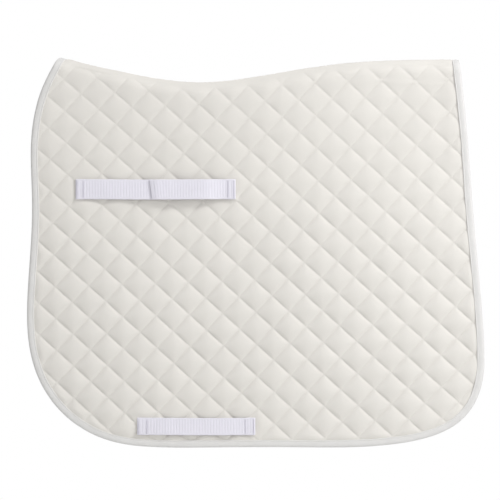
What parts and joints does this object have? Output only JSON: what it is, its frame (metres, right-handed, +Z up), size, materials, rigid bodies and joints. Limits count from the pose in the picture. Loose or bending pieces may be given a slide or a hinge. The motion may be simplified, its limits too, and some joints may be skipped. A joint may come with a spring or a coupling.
{
  "type": "saddle pad",
  "caption": "Contoured dressage saddle pad in diamond-quilted off-white cotton, with a bound edge, a strap for the saddle's billets and a strap for the girth on each side.",
  "frame": {"origin": "under the spine at its lowest point, where the pad rests on a back or a rail", "axes": "+X towards the rear edge, +Y towards the off (right) side, +Z up"},
  "size_m": [0.6628, 0.065, 0.5657],
  "materials": {
    "face_cotton": "quilted cotton twill, matt",
    "lining_cotton": "smooth cotton lining, matt",
    "wadding": "polyester wadding",
    "binding_tape": "folded woven tape, slight sheen",
    "webbing": "ribbed synthetic webbing, slight sheen",
    "thread": "spun polyester sewing thread",
    "hook_tape": "fine nylon hooks",
    "loop_tape": "brushed nylon pile"
  },
  "bodies": {
    "spine": {"spine_face_cloth": "face_cotton", "spine_wadding": "wadding", "spine_lining": "lining_cotton", "spine_seam_tape": "binding_tape", "front_spine_binding": "binding_tape", "rear_spine_binding": "binding_tape"},
    "near_side": {"near_face_cloth": "face_cotton", "near_wadding": "wadding", "near_lining": "lining_cotton", "near_edge_binding": "binding_tape", "near_girth_strap": "webbing", "near_girth_strap_tacks": "thread", "near_billet_strap_front": "webbing", "near_billet_front_tacks": "thread", "near_billet_loop_patch": "loop_tape", "near_billet_strap_rear_end": "webbing", "near_billet_rear_tacks": "thread"},
    "near_billet_flap": {"near_billet_strap_rear": "webbing", "near_billet_hook_patch": "hook_tape"},
    "off_side": {"off_face_cloth": "face_cotton", "off_wadding": "wadding", "off_lining": "lining_cotton", "off_edge_binding": "binding_tape", "off_girth_strap": "webbing", "off_girth_strap_tacks": "thread", "off_billet_strap_front": "webbing", "off_billet_front_tacks": "thread", "off_billet_loop_patch": "loop_tape", "off_billet_strap_rear_end": "webbing", "off_billet_rear_tacks": "thread"},
    "off_billet_flap": {"off_billet_strap_rear": "webbing", "off_billet_hook_patch": "hook_tape"}
  },
  "joints": [
    {"name": "near_side_fold", "type": "hinge", "parent": "spine", "child": "near_side", "pos_m": [0, -0.0165, -0.03], "axis": [-1, 0, 0], "range_deg": [0, 90]},
    {"name": "near_billet_opening", "type": "hinge", "parent": "near_side", "child": "near_billet_flap", "pos_m": [0.036, -0.0226, -0.1425], "axis": [0, 0, 1], "range_deg": [0, 150]},
    {"name": "off_side_fold", "type": "hinge", "parent": "spine", "child": "off_side", "pos_m": [0, 0.0165, -0.03], "axis": [1, 0, 0], "range_deg": [0, 90]},
    {"name": "off_billet_opening", "type": "hinge", "parent": "off_side", "child": "off_billet_flap", "pos_m": [0.036, 0.0226, -0.1425], "axis": [0, 0, -1], "range_deg": [0, 150]}
  ]
}
